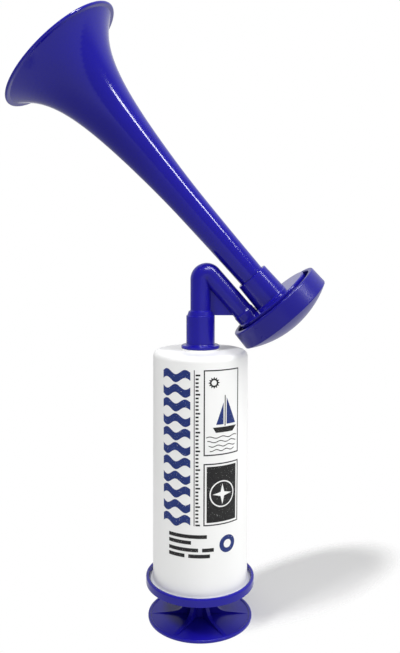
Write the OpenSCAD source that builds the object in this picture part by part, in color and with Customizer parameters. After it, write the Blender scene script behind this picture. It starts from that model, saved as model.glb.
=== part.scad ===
// Hand-pumped air horn that stands upside down on its pump handle.
// The handle disc's underside is z = 0 and the pump barrel stands along +Z.
// The sound head leans out to +X, and the trumpet rises back over the barrel to -X.

/* [Barrel] */
// Outside diameter of the barrel just above its foot
barrel_d = 50.8; // [48:0.2:56]
// How much narrower the barrel is just below its shoulder
barrel_taper = 1.6; // [0:0.1:3]
// Thickness of the barrel's wall just below its shoulder
barrel_wall = 2.3; // [1.8:0.1:3]
// Height of the barrel's flat top above the ground
barrel_top_z = 146.4; // [130:0.2:170]
// Radius of the rounded shoulder at the top
shoulder_r = 3; // [2:0.5:4]
// Thickness of the closed top
crown_t = 2.6; // [2:0.1:3.5]
// Thickness of the flange around the barrel's foot
foot_lip_t = 1.4; // [1:0.1:2]
// How far that flange stands out, with a fillet of the same size above it
foot_lip_w = 2.05; // [1.5:0.05:3]

/* [End cap] */
// Thickness of the ring around the barrel's foot
cap_wall = 1.6; // [1.2:0.1:2]
// Height of that ring
cap_ring_h = 4.5; // [4:0.1:6]
// Clear height between the handle disc and the end cap's floor
finger_gap = 17.1; // [15:0.1:24]
// Thickness of the end cap's floor
cap_floor_t = 2; // [1.6:0.1:3]
// Height of the plug and the rod guide above the floor
cap_plug_h = 7.6; // [6:0.2:12]

/* [Plunger] */
// Diameter of the handle disc
disc_d = 56.2; // [50:0.2:62]
// Thickness of the disc's floor
disc_t = 1.3; // [1:0.1:2]
// Height of the raised rim around the disc
rim_h = 0.5; // [0.2:0.1:0.8]
// Diameter of the pump rod
rod_d = 10; // [9:0.2:11]
// Number of flared ribs between the rod and the disc
rib_count = 6; // [4:2:8]
// Thickness of a rib
rib_t = 2; // [1.4:0.1:2.6]
// Distance of a rib's tip from the disc's edge
rib_inset = 2.1; // [2:0.1:8]

/* [Piston] */
// Height of the piston head
piston_h = 12; // [11:0.5:16]
// Thickness of the piston below its seal groove
seal_land = 3.6; // [2.6:0.1:4]
// Depth of the rod's seat in the piston
rod_seat = 5; // [3:0.5:6]
// Gap left above the piston when the handle is pushed home
piston_gap = 1.4; // [0.8:0.1:3]
// Cord diameter of the piston's seal ring
seal_cord_d = 3.2; // [2.6:0.1:3.6]
// Travel of the seal ring in its groove, which opens and shuts the air inlet
seal_float = 1.2; // [0.8:0.1:1.5]
// Number of air slots above the seal ring
slot_count = 6; // [4:1:8]
// Length of the screw's threaded shank
screw_len = 16; // [12:1:20]
// Diameter of the screw's head
screw_head_d = 8; // [7:0.2:9]

/* [Elbow] */
// Diameter of the air pipe
pipe_d = 10.6; // [9.6:0.2:11.2]
// Thickness of the pipe's wall
pipe_wall = 2.1; // [1.6:0.1:2.4]
// Diameter of the collar that fits over the barrel's outlet
collar_d = 14.8; // [14:0.2:16]
// Thickness of the collar's wall
collar_wall = 1.6; // [1.2:0.1:2]
// Height of the collar above the barrel's top
collar_h = 18.1; // [16:0.1:19]
// Diameter of the flange under the collar
flange_d = 20; // [18:0.2:22]
// Thickness of the flange
flange_t = 1.8; // [1.4:0.1:2.4]
// Bend radius of the pipe's centre line
bend_r = 3.1; // [2.6:0.1:3.6]
// Thickness of the web between the two legs
web_t = 2.2; // [1.6:0.1:3]

/* [Sound head] */
// Outside diameter of the head cap at its open edge
head_d = 52.2; // [51:0.2:56]
// Height of the head cap's side wall
head_h = 9.3; // [9.3:0.1:11]
// Thickness of the head cap's side wall
head_wall = 2.6; // [2:0.1:3]
// Radius of the domed back
dome_r = 50; // [44:0.5:70]
// Radius of the rounding between the cap's side wall and its dome
knuckle_r = 0.7; // [0.6:0.1:3]
// Lean of the trumpet from upright, in degrees
tilt = 41.4; // [39:0.1:44]
// Distance of the head's centre from the barrel's axis
head_x = 37.1; // [36.4:0.1:40]
// Clearance between the head cap and the barrel's top
head_gap = 1; // [0.5:0.1:3]
// Distance of the air inlet's boss from the face plate's edge
port_inset = 0.1; // [0.1:0.05:0.3]
// Height of the face plate in front of the cap's open edge
face_rise = 1.4; // [0.8:0.1:2]
// Thickness of the diaphragm
diaphragm_t = 0.4; // [0.3:0.1:0.6]

/* [Trumpet] */
// Diameter of the trumpet's plain tail
tail_d = 13.8; // [13:0.2:14.4]
// Length of the sleeve that holds the tail, in front of the face plate
sleeve_len = 15.2; // [12:0.2:18]
// Thickness of the sleeve at its open end
sleeve_wall = 1.65; // [1.2:0.05:2]
// Diameter of the flare where it meets the lip
flare_d = 65.3; // [58:0.1:68]
// Length of the flare in front of the cap's open edge
flare_len = 160.9; // [140:0.1:180]
// Length of the slim stem, from the cap's open edge to where the cone starts to open
stem_len = 73; // [60:1:90]
// How much the stem's radius grows for each mm of its length
stem_rise = 0.008; // [0:0.001:0.02]
// How much more the radius grows for each mm of the cone
cone_rise = 0.038; // [0:0.001:0.06]
// How far from its end the bell still opens slowly, a small value makes a sudden bell
flare_soft = 31.6; // [24:0.1:50]
// Width of the flat lip around the flare
lip_w = 2.35; // [1.6:0.05:6]
// Thickness of the lip
lip_t = 1.5; // [1.2:0.1:2]
// Thickness of the trumpet's wall
horn_wall = 1.6; // [1.2:0.1:2]

/* [Hidden] */
$fn = 96;

// Clearances
fit_gap = 0.1;
slide_gap = 0.3;
swivel_gap = 0.05;
seal_gap = 0.06;

// Barrel
foot_r = barrel_d / 2;
top_r = foot_r - barrel_taper / 2;
bore_r = top_r - barrel_wall;
foot_lip_r = foot_r + foot_lip_w;
crown_z = barrel_top_z - crown_t;
top_pad_t = 0.9;

// End cap
cap_inner_r = foot_lip_r + fit_gap;
cap_r = cap_inner_r + cap_wall;
cap_floor_z = disc_t + finger_gap;
cap_seat_z = cap_floor_z + cap_floor_t;
cap_ring_drop = 0.6;
cap_ring_z = cap_seat_z - cap_ring_drop;
cap_top_z = cap_ring_z + cap_ring_h;
cap_plug_z = cap_seat_z + cap_plug_h;
cap_plug_wall = 1.6;
guide_wall = 2.4;

// Plunger and piston
disc_r = disc_d / 2;
rod_r = rod_d / 2;
guide_r = rod_r + slide_gap;
rib_reach = disc_r - rib_inset;
rib_gap = 0.8;
rib_top_z = cap_floor_z - rib_gap;
rib_foot = 0.12;
rib_sweep = 9;
piston_top_z = crown_z - piston_gap;
piston_z = piston_top_z - piston_h;
piston_r = bore_r - slide_gap - fit_gap;
screw_head_h = 2.4;
screw_r = 2;
screw_core_r = 1.8;
screw_room = 0.6;
screw_pit_r = screw_head_d / 2 + screw_room;
screw_seat_z = piston_top_z - screw_head_h - screw_room;
rod_end_z = piston_z + rod_seat;
seal_r = seal_cord_d / 2;
seal_mid_r = bore_r - seal_gap - seal_r;
groove_w = seal_cord_d + seal_float;
groove_z = piston_z + seal_land;
groove_r = seal_mid_r - seal_r - fit_gap * 2;
slot_w = 3;
slot_r = groove_r + 0.4;

// Sound head, in its own frame: z runs along the trumpet, x runs up the head
head_r = head_d / 2;
head_draft = 0.4;
head_back_r = head_r + head_draft;
head_inner_r = head_r - head_wall;
dome_edge = asin((head_back_r - knuckle_r) / (dome_r - knuckle_r));
dome_mid = (dome_r - knuckle_r) * cos(dome_edge) - head_h;
dome_wall = 2;
edge_drop = (head_back_r - knuckle_r) * sin(tilt) + head_h * cos(tilt) + knuckle_r;
dome_drop = dome_r - dome_mid * cos(tilt);
head_drop = tilt < dome_edge ? dome_drop : edge_drop;
head_z = barrel_top_z + head_gap + head_drop;
plate_t = 2.4;
face_groove_w = 2.5;
face_r = head_inner_r - face_groove_w;
chamber_wall = 2.6;
chamber_r = face_r - chamber_wall;
clamp_t = 1.2;
clamp_drop = 0.2;
clamp_z = -head_h - clamp_drop;
membrane_z = clamp_z + clamp_t;
seat_z = membrane_z + diaphragm_t;
thread_r = head_inner_r - slide_gap;
thread_depth = 5;
thread_front = face_rise - thread_depth;
thread_pitch = 1.1;
thread_ridge = 0.2;
thread_turns = floor((thread_front - seat_z) / thread_pitch);
clamp_r = thread_r - 0.4;
tail_r = tail_d / 2;
bed_r = tail_r + fit_gap;
sleeve_r = bed_r + sleeve_wall;
sleeve_draft = 0.5;
sleeve_top = face_rise + sleeve_len;

// Elbow
pipe_r = pipe_d / 2;
air_r = pipe_r - pipe_wall;
collar_r = collar_d / 2;
socket_r = collar_r - collar_wall;
elbow_z = barrel_top_z + top_pad_t;
collar_top_z = barrel_top_z + collar_h;
spigot_r = socket_r - fit_gap;
spigot_drop = 3.2;
spigot_top_z = collar_top_z - spigot_drop;
port_step = 0.4;
port_boss_r = pipe_r + port_step;
port_offset = face_r - port_inset - port_boss_r;
port_x = head_x - port_offset * cos(tilt);
port_z = head_z - port_offset * sin(tilt);
legs_meet_z = port_z + port_x / tan(tilt);
bend_turn = 180 - tilt;
bend_z = legs_meet_z - bend_r * tan(bend_turn / 2);
port_boss_h = 4.6;
port_rise = face_rise + port_boss_h;
port_spigot_step = 1.1;
port_spigot_r = pipe_r - port_spigot_step;
leg_top = port_x / sin(tilt) - bend_r * tan(bend_turn / 2);
neck_seal_r = 0.8;
neck_groove_r = socket_r - 2 * neck_seal_r;
neck_groove_w = 2.2 * neck_seal_r;
neck_groove_drop = 5;
neck_groove_z = spigot_top_z - neck_groove_drop;
outlet_wall = 1;
outlet_r = neck_groove_r - outlet_wall;
web_gap = 0.3;
web_z = max(collar_top_z, port_z + port_rise * cos(tilt) - port_spigot_r * sin(tilt) + web_gap);

// Trumpet
flare_r = flare_d / 2;
lip_r = flare_r + lip_w;
stem_soft = 12;
throat_r = 3.6;
valve_r = 5.2;
lip_round = lip_t / 2;
flare_steps = 44;

// Points along an arc of radius r about c, from angle a0 to angle a1
function arc(c, r, a0, a1, n = 6) = [
    for (i = [0 : n])
        let (a = a0 + (a1 - a0) * i / n)
        [c[0] + r * cos(a), c[1] + r * sin(a)]
];

// Length of cone passed at height s along the trumpet, with a soft start at the stem's end
function cone_at(s) = (s - stem_len + sqrt(pow(s - stem_len, 2) + pow(stem_soft, 2))) / 2;

// How much the stem and the cone have opened at height s
function taper_at(s) = stem_rise * (s - sleeve_top)
    + cone_rise * (cone_at(s) - cone_at(sleeve_top));

// How far the bell has opened at height s, close to nothing at the sleeve and 1 at the lip
function bell_at(s) = pow(flare_soft / (flare_soft + flare_len - s), 2);

// Outer radius of the trumpet at height s
function flare_at(s) =
    let (b0 = bell_at(sleeve_top), share = (bell_at(s) - b0) / (1 - b0))
    tail_r + taper_at(s) + (flare_r - tail_r - taper_at(flare_len)) * share;

// Slope of the outside at height s
function flare_slope(s) = let (d = 0.01) (flare_at(s + d) - flare_at(s - d)) / (2 * d);

// Heights along the flare, closer together towards the bell
function flare_s(i) = let (t = i / flare_steps)
    sleeve_top + (flare_len - sleeve_top) * (1 - pow(1 - t, 1.7));

function outer_flare() = [for (i = [0 : flare_steps]) [flare_at(flare_s(i)), flare_s(i)]];

// The inside of the flare lies one wall thickness in from the outside, square to it
function inner_flare() = [
    for (i = [flare_steps : -1 : 0])
        let (s = flare_s(i), k = flare_slope(s), n = sqrt(1 + k * k))
        [flare_at(s) - horn_wall / n, s + horn_wall * k / n]
];

// Children drawn about the trumpet's axis are moved to the sound head's place
module at_head() {
    translate([head_x, 0, head_z])
        rotate([0, -tilt, 0])
            children();
}

// A round rod about Z between two heights
module rod_z(r, z0, z1) {
    translate([0, 0, z0])
        cylinder(r = r, h = z1 - z0);
}

// White pump barrel, closed at the top with an outlet spigot for the elbow
module barrel() {
    fillet_z = cap_seat_z + foot_lip_t + foot_lip_w;
    color("white")
        rotate_extrude()
            difference() {
                polygon(concat(
                    [[outlet_r, cap_seat_z], [foot_lip_r, cap_seat_z]],
                    [[foot_lip_r, cap_seat_z + foot_lip_t]],
                    arc([foot_lip_r, fillet_z], foot_lip_w, 270, 180),
                    arc([top_r - shoulder_r, barrel_top_z - shoulder_r], shoulder_r, 0, 90, 8),
                    [[flange_d / 2, barrel_top_z], [flange_d / 2, elbow_z], [spigot_r, elbow_z]],
                    [[spigot_r, neck_groove_z], [neck_groove_r, neck_groove_z]],
                    [[neck_groove_r, neck_groove_z + neck_groove_w]],
                    [[spigot_r, neck_groove_z + neck_groove_w]],
                    [[spigot_r, spigot_top_z - 0.6], [spigot_r - 0.6, spigot_top_z]],
                    [[outlet_r, spigot_top_z]]
                ));
                translate([0, cap_seat_z - 1])
                    square([bore_r, crown_z - cap_seat_z + 1]);
            }
}

// Blue end cap: a ring around the foot, a floor with a rod guide, and a plug in the bore
module end_cap() {
    plug_r = bore_r - fit_gap;
    color("mediumblue")
        rotate_extrude()
            union() {
                polygon(concat(
                    [[guide_r, cap_floor_z], [foot_r - 1, cap_floor_z]],
                    arc([cap_r - 0.5, cap_ring_z + 0.5], 0.5, 270, 360, 3),
                    arc([cap_r - 0.8, cap_top_z - 0.8], 0.8, 0, 90, 4),
                    arc([cap_inner_r + 0.4, cap_top_z - 0.4], 0.4, 90, 180, 3),
                    [[cap_inner_r, cap_seat_z], [guide_r, cap_seat_z]]
                ));
                translate([plug_r - cap_plug_wall, cap_floor_z + 1])
                    square([cap_plug_wall, cap_plug_z - cap_floor_z - 1]);
                translate([guide_r, cap_floor_z + 1])
                    square([guide_wall, cap_plug_z - cap_floor_z - 1]);
            }
}

// Outline of one rib, low across the disc and sweeping steeply up the rod
module rib_outline() {
    steps = 18;
    rise = rib_top_z - disc_t;
    polygon(concat(
        [[rod_r - 1, disc_t - 0.5], [rib_reach, disc_t - 0.5]],
        [
            for (i = [0 : steps])
                let (t = i / steps, r = rib_reach + (rod_r + 0.6 - rib_reach) * t)
                [r, disc_t + rise * (rib_foot * t + (1 - rib_foot) * pow(t, rib_sweep))]
        ],
        [[rod_r - 1, rib_top_z]]
    ));
}

// Blue handle disc, ribs and pump rod, moulded in one
module plunger() {
    color("mediumblue")
        difference() {
            union() {
                rotate_extrude()
                    polygon(concat(
                        [[0, 0]],
                        arc([disc_r - 0.6, 0.6], 0.6, 270, 360, 4),
                        arc([disc_r - 0.5, disc_t + rim_h - 0.5], 0.5, 0, 90, 4),
                        [[disc_r - 1.2, disc_t + rim_h], [disc_r - 1.8, disc_t]],
                        [[rod_r, disc_t], [rod_r, rod_end_z - swivel_gap]],
                        [[0, rod_end_z - swivel_gap]]
                    ));
                for (i = [0 : rib_count - 1])
                    rotate([90, 0, i * 360 / rib_count])
                        translate([0, 0, -rib_t / 2])
                            linear_extrude(rib_t)
                                rib_outline();
            }
            rod_z(screw_core_r, rod_end_z - screw_len, rod_end_z + 1);
        }
}

// Piston head with a groove for the seal ring and air slots above it
module piston_head() {
    color("whitesmoke")
        difference() {
            rotate_extrude()
                polygon([
                    [screw_r + slide_gap, rod_end_z], [rod_r + fit_gap, rod_end_z],
                    [rod_r + fit_gap, piston_z], [piston_r - 0.6, piston_z],
                    [piston_r, piston_z + 0.6], [piston_r, groove_z],
                    [groove_r, groove_z], [groove_r, groove_z + groove_w],
                    [piston_r, groove_z + groove_w], [piston_r, piston_top_z - 0.6],
                    [piston_r - 0.6, piston_top_z], [screw_pit_r, piston_top_z],
                    [screw_pit_r, screw_seat_z], [screw_r + slide_gap, screw_seat_z]
                ]);
            for (i = [0 : slot_count - 1])
                rotate([0, 0, (i + 0.5) * 360 / slot_count])
                    translate([slot_r, -slot_w / 2, groove_z + groove_w / 2])
                        cube([piston_r, slot_w, piston_h]);
        }
}

// Rubber seal ring that floats in the piston's groove
module piston_seal() {
    color("dimgray")
        translate([0, 0, groove_z + seal_r])
            rotate_extrude()
                translate([seal_mid_r, 0])
                    circle(r = seal_r, $fn = 32);
}

// Screw that holds the piston head on the rod
module piston_screw() {
    head_z0 = screw_seat_z + swivel_gap;
    color("silver")
        difference() {
            union() {
                rod_z(screw_r, rod_end_z - screw_len + 1, head_z0 + 0.2);
                rotate_extrude()
                    polygon(concat(
                        [[0, head_z0], [screw_head_d / 2, head_z0]],
                        arc([screw_head_d / 2 - 1, head_z0 + screw_head_h - 1], 1, 0, 90, 4),
                        [[0, head_z0 + screw_head_h]]
                    ));
            }
            for (a = [0, 90])
                rotate([0, 0, a])
                    translate([-2.4, -0.5, head_z0 + screw_head_h - 1.4])
                        cube([4.8, 1, 2]);
        }
}

// Round bar of radius r that turns the tight bend of the elbow.
// It runs a little way into both legs and stands proud of them by a hair.
module bend_bar(r) {
    overrun = 1;
    translate([bend_r, 0, bend_z])
        rotate([90, 0, 0])
            rotate([0, 0, tilt - overrun])
                rotate_extrude(angle = bend_turn + 2 * overrun)
                    intersection() {
                        translate([bend_r, 0])
                            circle(r = r + 0.02, $fn = 64);
                        translate([0.02, -r - 1])
                            square([bend_r + r + 1, 2 * r + 2]);
                    }
}

// Round bar along the elbow's leg, from height s0 to s1 in front of the head cap's edge
module leg_bar(r, s0, s1) {
    at_head()
        translate([-port_offset, 0, s0])
            cylinder(r = r, h = s1 - s0);
}

// Blue elbow: a collar over the outlet, a tight bend and a leg down to the sound head
module elbow() {
    web_x = port_x + (port_z - web_z) * tan(tilt);
    color("mediumblue")
        difference() {
            union() {
                rotate_extrude()
                    polygon(concat(
                        [[0, elbow_z]],
                        arc([flange_d / 2 - 0.5, elbow_z + 0.5], 0.5, 270, 360, 3),
                        arc([flange_d / 2 - 0.6, elbow_z + flange_t - 0.6], 0.6, 0, 90, 3),
                        arc([collar_r + 0.8, elbow_z + flange_t + 0.8], 0.8, 270, 180, 4),
                        arc([collar_r - 0.5, collar_top_z - 0.5], 0.5, 0, 90, 3),
                        arc([pipe_r + 0.9, collar_top_z + 3], 0.9, 270, 180, 3),
                        [[pipe_r, collar_top_z + 6], [0, collar_top_z + 6]]
                    ));
                rod_z(pipe_r, collar_top_z, bend_z);
                bend_bar(pipe_r);
                leg_bar(pipe_r, port_rise, leg_top);
                leg_bar(port_spigot_r, -0.6, port_rise + 1);
                rotate([90, 0, 0])
                    translate([0, 0, -web_t / 2])
                        linear_extrude(web_t)
                            polygon([[0, web_z], [web_x, web_z], [bend_r, bend_z]]);
            }
            rod_z(socket_r, elbow_z - 1, spigot_top_z + 0.4);
            rod_z(air_r, spigot_top_z, bend_z + bend_r);
            leg_bar(air_r, -1, leg_top + bend_r);
        }
}

// Rubber ring that seals the elbow on the barrel's outlet
module elbow_seal() {
    color("dimgray")
        translate([0, 0, neck_groove_z + 1.1 * neck_seal_r])
            rotate_extrude()
                translate([socket_r - neck_seal_r, 0])
                    circle(r = neck_seal_r, $fn = 24);
}

// Blue sound head: face plate, trumpet sleeve, air inlet and the wall of the air chamber
module sound_head() {
    color("mediumblue")
        at_head()
            difference() {
                union() {
                    rotate_extrude()
                        polygon(concat(
                            [[bed_r, face_rise - plate_t], [chamber_r, face_rise - plate_t]],
                            [[chamber_r, seat_z], [thread_r, seat_z], [thread_r, thread_front]],
                            [[face_r, thread_front]],
                            arc([face_r - 0.6, face_rise - 0.6], 0.6, 0, 90, 4),
                            arc([sleeve_r + sleeve_draft + 0.8, face_rise + 0.8], 0.8, 270, 180, 4),
                            [[sleeve_r, sleeve_top - 0.3], [sleeve_r - 0.3, sleeve_top]],
                            [[bed_r, sleeve_top]]
                        ));
                    for (k = [1 : thread_turns])
                        rotate_extrude()
                            translate([thread_r - 1, thread_front - thread_pitch * k])
                                square([1 + thread_ridge, thread_pitch / 2]);
                    translate([-port_offset, 0, 0])
                        cylinder(r = port_boss_r, h = port_rise - 0.8);
                    translate([-port_offset, 0, port_rise - 0.8])
                        cylinder(r1 = port_boss_r, r2 = port_boss_r - 0.3, h = 0.8);
                }
                translate([-port_offset, 0, -plate_t])
                    cylinder(r = port_spigot_r + swivel_gap, h = port_rise + 2 * plate_t);
                translate([0, 0, face_rise - plate_t - 1])
                    cylinder(r = bed_r, h = sleeve_top + plate_t + 2);
            }
}

// Thin disc that buzzes against the trumpet's tail
module diaphragm() {
    color("gainsboro")
        at_head()
            translate([0, 0, membrane_z])
                cylinder(r = clamp_r, h = diaphragm_t);
}

// Rubber ring between the diaphragm's edge and the head cap
module clamp_ring() {
    color("dimgray")
        at_head()
            translate([0, 0, clamp_z])
                difference() {
                    cylinder(r = clamp_r, h = clamp_t);
                    translate([0, 0, -1])
                        cylinder(r = chamber_r + 0.4, h = clamp_t + 2);
                }
}

// Blue domed cap that screws over the sound head from behind
module head_cap() {
    inner_dome_r = dome_r - dome_wall;
    pocket_edge = asin((chamber_r + 0.4) / inner_dome_r);
    color("mediumblue")
        at_head()
            rotate_extrude()
                polygon(concat(
                    arc([0, dome_mid], inner_dome_r, 270, 270 + pocket_edge, 8),
                    [[chamber_r + 0.4, clamp_z], [head_inner_r, clamp_z]],
                    arc([head_inner_r + 0.6, -0.6], 0.6, 180, 90, 4),
                    arc([head_r - 0.8, -0.8], 0.8, 90, 0, 5),
                    arc([head_back_r - knuckle_r, -head_h], knuckle_r, 360, 270 + dome_edge, 8),
                    arc([0, dome_mid], dome_r, 270 + dome_edge, 270, 14)
                ));
}

// Blue trumpet: a plain tail that ends as the diaphragm's seat, and a long flare with a lip
module trumpet() {
    lip_mid = flare_len + lip_round;
    color("mediumblue")
        at_head()
            rotate_extrude()
                polygon(concat(
                    [[throat_r, seat_z], [valve_r, seat_z], [valve_r, seat_z + 2], [tail_r, seat_z + 4]],
                    outer_flare(),
                    arc([lip_r - lip_round, lip_mid], lip_round, 270, 450, 8),
                    inner_flare()
                ));
}

barrel();
end_cap();
plunger();
piston_head();
piston_seal();
piston_screw();
elbow();
elbow_seal();
sound_head();
diaphragm();
clamp_ring();
head_cap();
trumpet();
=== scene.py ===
import bmesh
import bpy
import math
from mathutils import Matrix, Quaternion, Vector


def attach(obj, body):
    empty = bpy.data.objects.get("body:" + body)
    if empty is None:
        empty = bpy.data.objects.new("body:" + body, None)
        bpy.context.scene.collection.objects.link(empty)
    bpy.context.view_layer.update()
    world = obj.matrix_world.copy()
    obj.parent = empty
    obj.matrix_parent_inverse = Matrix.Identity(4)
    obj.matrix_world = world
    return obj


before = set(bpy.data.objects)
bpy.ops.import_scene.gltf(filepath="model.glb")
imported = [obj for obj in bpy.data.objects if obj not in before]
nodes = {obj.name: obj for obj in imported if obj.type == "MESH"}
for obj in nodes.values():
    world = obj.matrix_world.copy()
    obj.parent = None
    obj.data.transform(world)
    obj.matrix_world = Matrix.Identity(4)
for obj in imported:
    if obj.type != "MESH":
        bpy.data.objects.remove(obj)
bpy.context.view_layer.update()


# The studio
# The horn stands on a pale table in a white room, with soft lamps to the left and the right.
# Two narrow lamps are only mirrored, as the bright lines on the blue plastic. The camera
# sees the table only in a patch at the horn's shadow, and not as a whole floor. The
# patch's grey is partly a painted shadow.
def add_node(tree, kind, inputs=None, **settings):
    """A shader node, with plain values or sockets for its inputs."""
    made = tree.nodes.new("ShaderNode" + kind)
    for key, value in settings.items():
        setattr(made, key, value)
    for key, value in (inputs or {}).items():
        if isinstance(value, bpy.types.NodeSocket):
            tree.links.new(value, made.inputs[key])
        else:
            made.inputs[key].default_value = value
    return made


def empty_tree(owner):
    """The node tree of a new material or world, with nothing in it."""
    owner.use_nodes = True
    owner.node_tree.nodes.clear()
    return owner.node_tree


def blend_value(tree, share, first, second):
    """A value that goes from first to second as share goes from 0 to 1."""
    return add_node(tree, "MapRange", {"Value": share, "To Min": first,
                                       "To Max": second}).outputs[0]


def looked_at(tree):
    """1 where the camera looks at a thing itself or through something clear, else 0."""
    path = add_node(tree, "LightPath")
    return add_node(tree, "Math", {0: path.outputs["Is Camera Ray"],
                                   1: path.outputs["Is Transmission Ray"]},
                    operation="MAXIMUM").outputs[0]


def mirrored(tree):
    """1 where a glossy surface mirrors a thing, else 0."""
    return add_node(tree, "LightPath").outputs["Is Glossy Ray"]


def table_top():
    """A matt table that the camera sees only in a patch at the horn's shadow, so that the
    handle shows where it is pulled out below. The patch's grey is partly a painted shadow:
    it shows pale grey even where the horn casts none, and its faded edge, not the cast
    shadow, ends the grey on its far side and at its tip. Other rays meet the table as an
    even glow with no shadow, dimmer on the left, that lights the horn from below."""
    half = 3.0
    # These place the grey patch, a partly painted shadow that lies along the horn's cast shadow.
    shadow_mid, shadow_half = (0.064, 0.038, 0), (0.092, 0.038, 1)
    shadow_turn = math.radians(38)
    near, far = 0.55, 0.95
    dim_at, bright_at = -0.35, -0.05
    grey = (0.71, 0.71, 0.71, 1)
    dim, bright = 0.45, 0.8
    mesh = bpy.data.meshes.new("table_top")
    corners = [(-half, -half, 0), (half, -half, 0), (half, half, 0), (-half, half, 0)]
    mesh.from_pydata(corners, [], [(0, 1, 2, 3)])
    table = bpy.data.objects.new("table_top", mesh)
    bpy.context.scene.collection.objects.link(table)
    paint = bpy.data.materials.new("white_table")
    tree = empty_tree(paint)
    eye = looked_at(tree)
    matt = add_node(tree, "BsdfDiffuse", {"Color": grey})
    surface = add_node(tree, "NewGeometry")
    place = surface.outputs["Position"]
    east = add_node(tree, "SeparateXYZ", {"Vector": place}).outputs["X"]
    bounce = add_node(tree, "MapRange", {"Value": east, "From Min": dim_at,
                                         "From Max": bright_at, "To Min": dim,
                                         "To Max": bright},
                      interpolation_type="SMOOTHSTEP").outputs[0]
    glow = add_node(tree, "Emission", {"Strength": bounce})
    met = add_node(tree, "MixShader", {"Fac": eye, 1: glow.outputs[0], 2: matt.outputs[0]})
    inside = add_node(tree, "Mapping", {"Vector": place, "Location": shadow_mid,
                                        "Rotation": (0, 0, shadow_turn),
                                        "Scale": shadow_half}, vector_type="TEXTURE")
    reach = add_node(tree, "VectorMath", {0: inside.outputs[0]},
                     operation="LENGTH").outputs["Value"]
    # The patch's fade ends the painted shadow on its far side and at its tip.
    away = add_node(tree, "MapRange", {"Value": reach, "From Min": near, "From Max": far},
                    interpolation_type="SMOOTHSTEP").outputs[0]
    clear = add_node(tree, "Math", {0: away, 1: surface.outputs["Backfacing"]},
                     operation="MAXIMUM").outputs[0]
    fade = add_node(tree, "Math", {0: clear, 1: eye}, operation="MULTIPLY").outputs[0]
    nothing = add_node(tree, "BsdfTransparent")
    both = add_node(tree, "MixShader", {"Fac": fade, 1: met.outputs[0], 2: nothing.outputs[0]})
    add_node(tree, "OutputMaterial", {"Surface": both.outputs[0]})
    mesh.materials.append(paint)


def white_room():
    """White to the camera, brighter on the right for matt surfaces, and for mirrors
    bright behind the horn and dim behind the camera."""
    low_light, high_light = 0.2, 1.25
    bright_side = (0.89, -0.45, 0.0)
    dark_end, white_end = 0.28, 0.8
    room = bpy.data.worlds.new("white_room")
    bpy.context.scene.world = room
    tree = empty_tree(room)
    towards = add_node(tree, "TexCoord").outputs["Generated"]
    way = add_node(tree, "SeparateXYZ", {"Vector": towards})
    side = add_node(tree, "VectorMath", {0: towards, 1: bright_side},
                    operation="DOT_PRODUCT").outputs["Value"]
    walls = add_node(tree, "MapRange", {"Value": side, "From Min": -0.2, "From Max": 1.0,
                                        "To Min": low_light, "To Max": high_light},
                     interpolation_type="SMOOTHSTEP").outputs[0]
    depth = add_node(tree, "MapRange", {"Value": way.outputs["Y"], "From Min": -0.15,
                                        "From Max": 0.45, "To Min": dark_end,
                                        "To Max": white_end},
                     interpolation_type="SMOOTHSTEP").outputs[0]
    unseen = blend_value(tree, mirrored(tree), walls, depth)
    strength = blend_value(tree, looked_at(tree), unseen, 1.0)
    light = add_node(tree, "Background", {"Color": (1, 1, 1, 1), "Strength": strength})
    add_node(tree, "OutputWorld", {"Surface": light.outputs[0]})


def soft_box(name, place, aim, width, height, power, along=(0, 0, 1), glint=False):
    """A soft lamp that faces a point of the horn, with its height in the plane of along.
    It lights the surfaces, or as a glint is only mirrored in them."""
    lamp = bpy.data.lights.new(name, "AREA")
    lamp.shape = "RECTANGLE"
    lamp.size = width
    lamp.size_y = height
    lamp.energy = power
    holder = bpy.data.objects.new(name, lamp)
    back = (Vector(place) - Vector(aim)).normalized()
    side = Vector(along).cross(back).normalized()
    turn = Matrix((side, back.cross(side), back)).transposed().to_4x4()
    holder.matrix_world = Matrix.Translation(place) @ turn
    holder.visible_glossy = glint
    holder.visible_diffuse = not glint
    bpy.context.scene.collection.objects.link(holder)


table_top()
white_room()
trumpet_middle, trumpet_way = (-0.03, 0, 0.25), (-0.66, 0, 0.75)
soft_box("left_lamp", place=(-0.52, -0.37, 1.0), aim=(0, 0, 0.1),
         width=0.22, height=0.22, power=7.4)
soft_box("right_lamp", place=(0.65, -0.26, 1.03), aim=trumpet_middle,
         width=0.3, height=0.6, power=7.6)
soft_box("front_glint", place=(0.04, -0.62, 0.96), aim=(0, 0, 0.2),
         width=0.3, height=0.08, power=3.5, along=(0, 1, 0), glint=True)
soft_box("right_glint", place=(0.464, -0.43, 1.186), aim=trumpet_middle,
         width=0.14, height=1.08, power=16.5, along=trumpet_way, glint=True)

# The camera
# It stands a little above the middle of the horn and looks slightly down, from the side
# on which the trumpet points left.
dip, roll_angle = 6.85, 0.13
camera = bpy.data.objects.new("camera", bpy.data.cameras.new("camera"))
camera.data.sensor_width = 36
camera.data.lens = 37.85
camera.location = (-0.0003, -0.3537, 0.2010)
look_down = Quaternion((1, 0, 0), math.radians(90 - dip))
roll = Quaternion((0, 0, 1), math.radians(roll_angle))
camera.rotation_mode = "QUATERNION"
camera.rotation_quaternion = look_down @ roll
camera.data.clip_start = 0.01
bpy.context.scene.collection.objects.link(camera)
bpy.context.scene.camera = camera
bpy.context.scene.view_settings.view_transform = "Standard"


# The pump barrel
# A tube of white plastic, moulded with its closed top and air outlet in one piece.
# It has a soft gloss, faint cloudiness and the hairline scuffs of handling.
MM = 0.001


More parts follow.
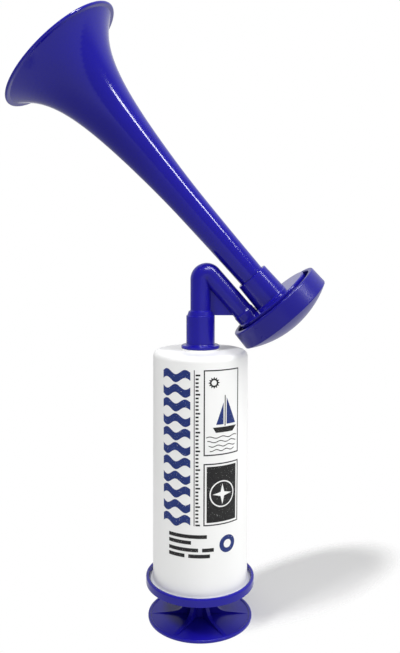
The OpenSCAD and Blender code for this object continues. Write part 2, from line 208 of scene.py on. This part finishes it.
def ramp(tree, value, stops):
    """Colours or greys along a value, each stop a position and a grey or a colour."""
    made = add_node(tree, "ValToRGB", {"Fac": value})
    points = made.color_ramp.elements
    while len(points) < len(stops):
        points.new(0.5)
    for point, (position, tone) in zip(points, stops):
        point.position = position
        point.color = (tone, tone, tone, 1) if isinstance(tone, float) else (*tone, 1)
    return made.outputs["Color"]


def moulded_plastic(name, dye, cloud, gloss, grain, scuffs=0.12):
    """Moulded plastic with a cloudy dye, an uneven gloss, fine peel and hairline scuffs."""
    material = bpy.data.materials.new(name)
    tree = empty_tree(material)
    place = add_node(tree, "TexCoord").outputs["Object"]
    clouds = add_node(tree, "TexNoise", {"Vector": place, "Scale": 28.0, "Detail": 4.0})
    colour = ramp(tree, clouds.outputs["Fac"], [(0.35, cloud), (0.65, dye)])
    polish = add_node(tree, "TexNoise", {"Vector": place, "Scale": 70.0, "Detail": 5.0})
    drawn = add_node(tree, "Mapping", {"Vector": place, "Scale": (1500, 1500, 55)})
    lines = add_node(tree, "TexNoise", {"Vector": drawn.outputs[0], "Scale": 1.0})
    hairs = ramp(tree, lines.outputs["Fac"], [(0.64, 0.0), (0.7, 1.0)])
    patches = add_node(tree, "TexNoise", {"Vector": place, "Scale": 45.0})
    where = ramp(tree, patches.outputs["Fac"], [(0.5, 0.0), (0.62, 1.0)])
    worn = add_node(tree, "Math", {0: hairs, 1: where}, operation="MULTIPLY")
    even = add_node(tree, "MapRange", {"Value": polish.outputs["Fac"],
                                       "To Min": gloss * 0.9, "To Max": gloss * 1.12})
    rough = add_node(tree, "Math", {0: worn.outputs[0], 1: scuffs, 2: even.outputs[0]},
                     operation="MULTIPLY_ADD")
    peel = add_node(tree, "TexNoise", {"Vector": place, "Scale": 420.0, "Detail": 2.0})
    skin = add_node(tree, "Bump", {"Height": peel.outputs["Fac"], "Strength": grain,
                                   "Distance": 0.05 * MM})
    shader = add_node(tree, "BsdfPrincipled", {"Base Color": colour,
                                               "Roughness": rough.outputs[0],
                                               "Normal": skin.outputs[0]})
    add_node(tree, "OutputMaterial", {"Surface": shader.outputs[0]})
    return material, shader


def finish_node(name, material):
    """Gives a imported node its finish."""
    mesh = nodes[name].data
    mesh.materials.clear()
    mesh.materials.append(material)


barrel_white, _ = moulded_plastic("barrel_white", (0.87, 0.87, 0.865), (0.845, 0.85, 0.84),
                                  gloss=0.3, grain=0.15)
finish_node("barrel", barrel_white)


# The print on the barrel
# Blue and black ink, screen printed on the front of the barrel in thin layers. A column of
# blue waves, a scale, two framed pictures and a life ring with bars below.
def on_barrel(along, up, out):
    """The place of a point of the print: mm along the skin, mm up and mm out from it."""
    low_z, low_r = 23.85, 25.4
    top_z, top_r = 143.4, 24.6
    radius = low_r + (top_r - low_r) * (up - low_z) / (top_z - low_z)
    turn = along / radius
    return Vector(((radius + out) * math.sin(turn), -(radius + out) * math.cos(turn), up)) * MM


def printed(name, outlines, ink):
    """Closed outlines, filled with ink between the outer and inner ones, on the barrel."""
    sunk, proud = -0.05, 0.03
    strip = 1.2  # the widest flat strip round the barrel
    flat = bpy.data.curves.new(name, "CURVE")
    flat.dimensions = "2D"
    flat.fill_mode = "BOTH"
    for outline in outlines:
        line = flat.splines.new("POLY")
        line.points.add(len(outline) - 1)
        for point, (along, up) in zip(line.points, outline):
            point.co = (along, up, 0, 1)
        line.use_cyclic_u = True
    drawing = bpy.data.objects.new(name, flat)
    mesh = bpy.data.meshes.new_from_object(drawing)
    bpy.data.objects.remove(drawing)
    layer = bmesh.new()
    layer.from_mesh(mesh)
    bmesh.ops.remove_doubles(layer, verts=layer.verts, dist=0.001)
    reach = [point.co.x for point in layer.verts]
    cut = math.floor(min(reach) / strip) * strip
    while cut < max(reach):
        everything = layer.verts[:] + layer.edges[:] + layer.faces[:]
        bmesh.ops.bisect_plane(layer, geom=everything, dist=0.001, plane_co=(cut, 0, 0),
                               plane_no=(1, 0, 0))
        cut += strip
    raised = bmesh.ops.extrude_face_region(layer, geom=layer.faces[:], use_keep_orig=True)
    top = {item for item in raised["geom"] if isinstance(item, bmesh.types.BMVert)}
    for point in layer.verts:
        along, up, _ = point.co
        point.co = on_barrel(along, up, proud if point in top else sunk)
    bmesh.ops.recalc_face_normals(layer, faces=layer.faces)
    layer.to_mesh(mesh)
    layer.free()
    mesh.name = name
    mesh.materials.clear()
    mesh.materials.append(ink)
    print_layer = bpy.data.objects.new(name, mesh)
    bpy.context.scene.collection.objects.link(print_layer)
    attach(print_layer, "horn")


def print_ink(name, ink, thin):
    """Screen ink with a faint weave of the screen and a few pinholes."""
    material = bpy.data.materials.new(name)
    tree = empty_tree(material)
    place = add_node(tree, "TexCoord").outputs["Object"]
    specks = add_node(tree, "TexNoise", {"Vector": place, "Scale": 2600.0, "Detail": 1.0})
    holes = ramp(tree, specks.outputs["Fac"], [(0.72, 0.0), (0.76, 1.0)])
    weave = add_node(tree, "TexNoise", {"Vector": place, "Scale": 350.0, "Detail": 3.0})
    body = ramp(tree, weave.outputs["Fac"], [(0.35, ink), (0.7, thin)])
    colour = add_node(tree, "Mix", {"Factor": holes, "A": body, "B": (0.7, 0.7, 0.7, 1)},
                      data_type="RGBA")
    rough = add_node(tree, "MapRange", {"Value": weave.outputs["Fac"], "To Min": 0.35,
                                        "To Max": 0.55})
    skin = add_node(tree, "Bump", {"Height": weave.outputs["Fac"], "Strength": 0.1,
                                   "Distance": 0.03 * MM})
    shader = add_node(tree, "BsdfPrincipled", {"Base Color": colour.outputs["Result"],
                                               "Roughness": rough.outputs[0],
                                               "Normal": skin.outputs[0]})
    shader.inputs["Specular IOR Level"].default_value = 0.3
    add_node(tree, "OutputMaterial", {"Surface": shader.outputs[0]})
    return material


def box_line(left, low, right, high):
    """The outline of an upright rectangle."""
    return [(left, low), (right, low), (right, high), (left, high)]


def ring_line(middle, radius, count=40):
    """A circle as an outline of count points."""
    return [(middle[0] + radius * math.cos(k * math.tau / count),
             middle[1] + radius * math.sin(k * math.tau / count))
            for k in range(count)]


def star_line(middle, outer, inner, tips):
    """The outline of a star with its first tip at the top."""
    first_tip = math.pi / 2
    points = []
    for k in range(2 * tips):
        reach = inner if k % 2 else outer
        angle = first_tip + k * math.pi / tips
        points.append((middle[0] + reach * math.cos(angle), middle[1] + reach * math.sin(angle)))
    return points


def wave_line(left, right, middle, thick, lift, waves, phase=0.0, steps=24):
    """A band that waves up and down between two ends."""
    def ride_at(k):
        return middle + lift * math.sin(phase + waves * math.tau * k / steps)
    across = [left + (right - left) * k / steps for k in range(steps + 1)]
    lower = [(x, ride_at(k) - thick / 2) for k, x in enumerate(across)]
    upper = [(x, ride_at(k) + thick / 2) for k, x in enumerate(across)]
    return lower + upper[::-1]


blue_ink = print_ink("blue_ink", (0.011, 0.026, 0.15), (0.016, 0.036, 0.19))
black_ink = print_ink("black_ink", (0.01, 0.01, 0.011), (0.018, 0.018, 0.018))

column_left, column_right = -20.8, -5.0
column_low, wave_pitch, wave_thick = 63.2, 7.35, 4.0
wave_rows, wave_lift, wave_count = 11, 1.25, 1.5
waves = []
for row in range(wave_rows):
    waves.append(wave_line(column_left, column_right, column_low + row * wave_pitch,
                           wave_thick, wave_lift, wave_count, phase=math.pi * (row % 2)))
printed("print_waves", waves, blue_ink)

scale_x, scale_low, scale_high = -2.9, 61.0, 140.0
spine_left, spine_right = scale_x - 0.35, scale_x + 0.05
tick_pitch, tick_thick, tick_gap = 1.9, 0.85, 0.5
long_tick, short_tick, long_every = 2.3, 1.5, 5
ticks = []
for k in range(int((scale_high - scale_low) / tick_pitch)):
    up = scale_low + k * tick_pitch
    reach = short_tick if k % long_every else long_tick
    ticks.append(box_line(scale_x + tick_gap, up, scale_x + tick_gap + reach, up + tick_thick))
ticks.append(box_line(spine_left, scale_low, spine_right, scale_high))
printed("print_scale", ticks, black_ink)

panel_left, panel_right, rule = 1.6, 21.4, 0.6
star_low, star_high = 61.0, 93.0
star_mid = ((panel_left + panel_right) / 2, (star_low + star_high) / 2)
inset = 1.6
compass_outer, compass_inner = 6.9, 6.2
star_outer, star_inner, star_tips = 5.4, 1.5, 4
printed("print_star_panel", [
    box_line(panel_left, star_low, panel_right, star_high),
    box_line(panel_left + rule, star_low + rule, panel_right - rule, star_high - rule),
    box_line(panel_left + inset, star_low + inset, panel_right - inset, star_high - inset),
    ring_line(star_mid, compass_outer), ring_line(star_mid, compass_inner),
    star_line(star_mid, star_outer, star_inner, star_tips),
], black_ink)

sea_low, sea_high = 97.0, 140.0
sea_left, sea_right = panel_left + 1.3, panel_right - 1.3
sun_mid, sun_r = (panel_left + 5.2, sea_high - 6.4), 1.35
ray_reach, ray_foot, rays = 3.0, 2.0, 12
hull_low, hull_high = sea_low + 11.5, 2.7
mast_x, mast_half = panel_left + 11.2, 0.25
mast_foot, mast_top, sail_foot = hull_low + 3.2, hull_low + 18.6, hull_low + 4.0
swell_thick, swell_lift, swell_count = 0.42, 0.42, 2.5
swell_heights, swell_inset, swell_shift = (9.2, 7.0, 4.8, 2.6), 0.6, 1.3
sea = [
    box_line(panel_left, sea_low, panel_right, sea_high),
    box_line(panel_left + rule, sea_low + rule, panel_right - rule, sea_high - rule),
    star_line(sun_mid, ray_reach, ray_foot, rays), ring_line(sun_mid, sun_r),
    [(mast_x - 6.6, hull_low + hull_high), (mast_x - 5.0, hull_low), (mast_x + 4.6, hull_low),
     (mast_x + 7.0, hull_low + hull_high)],
    box_line(mast_x - mast_half, mast_foot, mast_x + mast_half, mast_top),
]
for row, height in enumerate(swell_heights):
    sea.append(wave_line(sea_left + swell_inset * row, sea_right - swell_inset * row,
                         sea_low + height, swell_thick, swell_lift, swell_count,
                         phase=swell_shift * row))
printed("print_sea_panel", sea, black_ink)
printed("print_sail", [
    [(mast_x + 0.9, sail_foot), (mast_x + 6.4, sail_foot), (mast_x + 0.9, hull_low + 17.4)],
    [(mast_x - 0.9, sail_foot), (mast_x - 0.9, hull_low + 15.0), (mast_x - 4.9, sail_foot)],
], blue_ink)

float_mid, float_outer, float_inner = (14.6, 50.4), 4.6, 2.2
printed("print_life_ring", [ring_line(float_mid, float_outer), ring_line(float_mid, float_inner)],
        blue_ink)
bar_left, bar_thick = -17.0, 1.9
bar_places = [(bar_left, 54.4, 3.4), (bar_left, 51.2, -4.6), (bar_left, 47.4, -1.0),
              (1.0, 47.4, 7.0), (bar_left, 44.2, -8.0), (-6.0, 44.2, 5.0)]
printed("print_bars", [box_line(left, low, right, low + bar_thick)
                       for left, low, right in bar_places], black_ink)

# The end cap
# A blue ring, floor and rod guide in one glossy moulding, pressed over the barrel's foot.
# It guides the pump rod and ends the piston's travel.
HORN_BLUE = (0.009, 0.006, 0.285)
DEEP_BLUE = (0.008, 0.005, 0.253)


def glossy_blue(name, gloss=0.12, depth=1.0):
    """The horn's glossy ultramarine plastic, darker where depth is below 1."""
    dye = tuple(depth * part for part in HORN_BLUE)
    cloud = tuple(depth * part for part in DEEP_BLUE)
    material, shader = moulded_plastic(name, dye, cloud, gloss=gloss, grain=0.003,
                                       scuffs=0.03)
    shader.inputs["Specular IOR Level"].default_value = 0.35
    return material


finish_node("end_cap", glossy_blue("cap_blue"))

# The handle
# The disc, its six ribs and the pump rod are one blue moulding. Fingers reach over the
# disc, and the rod goes up through the end cap to the piston.
finish_node("plunger", glossy_blue("handle_blue", gloss=0.3))

# The piston
# A pale head on the end of the rod, with a rubber ring that floats in its groove and a
# plated screw. All three stay inside the barrel.
piston_pale, _ = moulded_plastic("piston_pale", (0.72, 0.72, 0.70), (0.68, 0.68, 0.66),
                                 gloss=0.45, grain=0.2)
finish_node("piston_head", piston_pale)
black_rubber, _ = moulded_plastic("black_rubber", (0.02, 0.02, 0.022), (0.03, 0.03, 0.032),
                                  gloss=0.6, grain=0.5)
finish_node("piston_seal", black_rubber)
plated_steel, plating = moulded_plastic("plated_steel", (0.6, 0.6, 0.62), (0.5, 0.5, 0.52),
                                        gloss=0.25, grain=0.1)
plating.inputs["Metallic"].default_value = 1.0
finish_node("piston_screw", plated_steel)

# The elbow
# A blue collar, pipe and web in one moulding, pushed over the barrel's outlet on a seal.
# It turns the air back down into the sound head.
finish_node("elbow", glossy_blue("elbow_blue", gloss=0.22))
finish_node("elbow_seal", black_rubber)

# The sound head
# A blue face plate with the trumpet's sleeve and the inlet boss. Behind it a thin film
# and a rubber ring are held by the cap.
finish_node("sound_head", glossy_blue("face_blue", gloss=0.18))
clear_film, _ = moulded_plastic("clear_film", (0.7, 0.72, 0.74), (0.66, 0.68, 0.7),
                                gloss=0.2, grain=0.1)
finish_node("diaphragm", clear_film)
finish_node("clamp_ring", black_rubber)

# The head cap
# A blue domed cap that screws over the sound head from behind. It holds the ring and
# the film in their seat.
finish_node("head_cap", glossy_blue("dome_blue", gloss=0.28, depth=0.84))

# The trumpet
# A long blue flare with a flat lip, moulded in one. Its slim end is pushed into the
# sleeve until it meets the film.
finish_node("trumpet", glossy_blue("trumpet_blue"))
